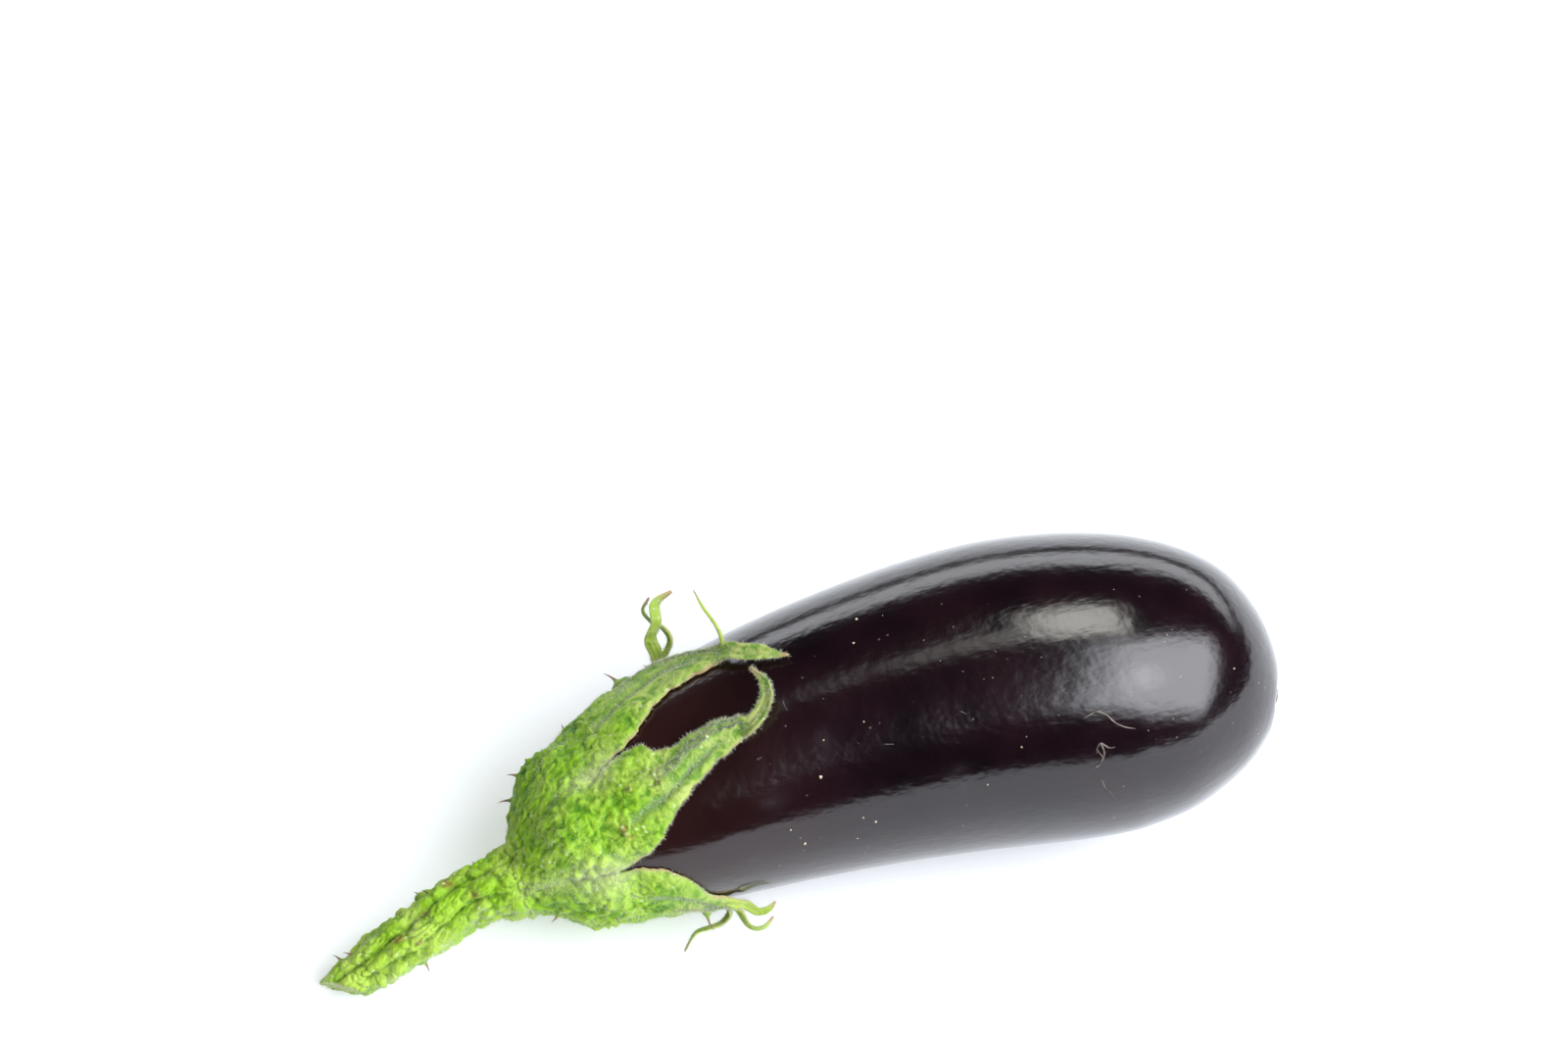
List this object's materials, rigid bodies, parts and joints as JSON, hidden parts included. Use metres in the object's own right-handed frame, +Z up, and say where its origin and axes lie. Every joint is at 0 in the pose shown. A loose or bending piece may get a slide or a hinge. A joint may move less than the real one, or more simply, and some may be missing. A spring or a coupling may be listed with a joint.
{
  "type": "eggplant",
  "caption": "Whole ripe eggplant lying on its side, with its pointed green calyx, curling tendril tips, slanting cut stem and small prickles.",
  "frame": {"origin": "middle of the flat spot on the belly that the fruit rests on, on the surface it lies on", "axes": "+X from the stem to the blossom end, +Z up"},
  "size_m": [0.2518, 0.0819, 0.0796],
  "materials": {
    "fruit_skin": "waxy near-black purple skin",
    "calyx_green": "downy, wrinkled green",
    "stem_green": "warty, ribbed green",
    "prickle_brown": "smooth woody brown"
  },
  "bodies": {
    "root": {"fruit": "fruit_skin", "calyx": "calyx_green", "stem": "stem_green", "prickle_01": "prickle_brown", "prickle_02": "prickle_brown", "prickle_03": "prickle_brown", "prickle_04": "prickle_brown", "prickle_05": "prickle_brown", "prickle_06": "prickle_brown", "prickle_07": "prickle_brown", "prickle_08": "prickle_brown", "prickle_09": "prickle_brown", "prickle_10": "prickle_brown", "prickle_11": "prickle_brown", "prickle_12": "prickle_brown", "prickle_13": "prickle_brown", "prickle_14": "prickle_brown", "prickle_15": "prickle_brown", "prickle_16": "prickle_brown", "prickle_17": "prickle_brown", "prickle_18": "prickle_brown", "prickle_19": "prickle_brown", "prickle_20": "prickle_brown"}
  },
  "joints": []
}
